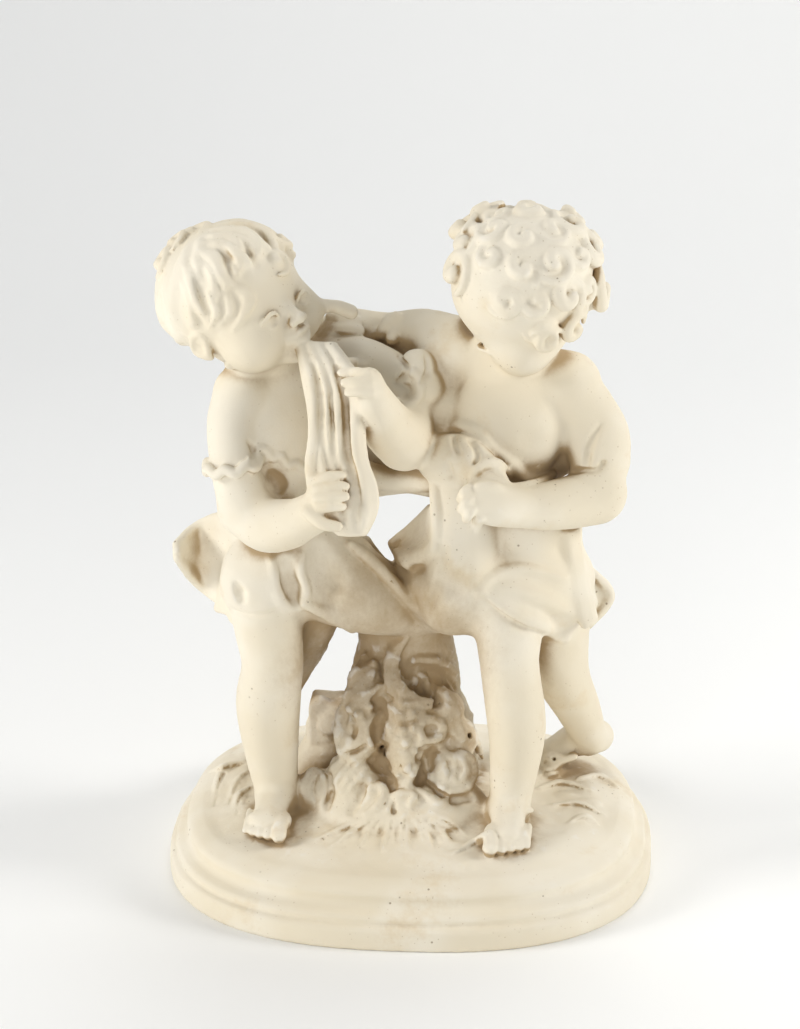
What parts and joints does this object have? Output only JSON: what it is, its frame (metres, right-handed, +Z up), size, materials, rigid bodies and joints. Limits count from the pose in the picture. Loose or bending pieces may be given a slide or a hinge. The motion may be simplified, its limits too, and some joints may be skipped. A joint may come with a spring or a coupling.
{
  "type": "plaster figure group",
  "caption": "Plaster group of small children under loose drapery, arm in arm beside a leafy stump, on an oval moulded plinth; rests on its underside.",
  "frame": {"origin": "middle of the plinth's flat underside", "axes": "+X to the viewer's right along the plinth's long side, +Y to the back, +Z up"},
  "size_m": [0.3009, 0.2576, 0.4272],
  "materials": {
    "plaster": "matte aged plaster, warm ivory, with small pits"
  },
  "bodies": {
    "root": {"figure_group": "plaster"}
  },
  "joints": []
}
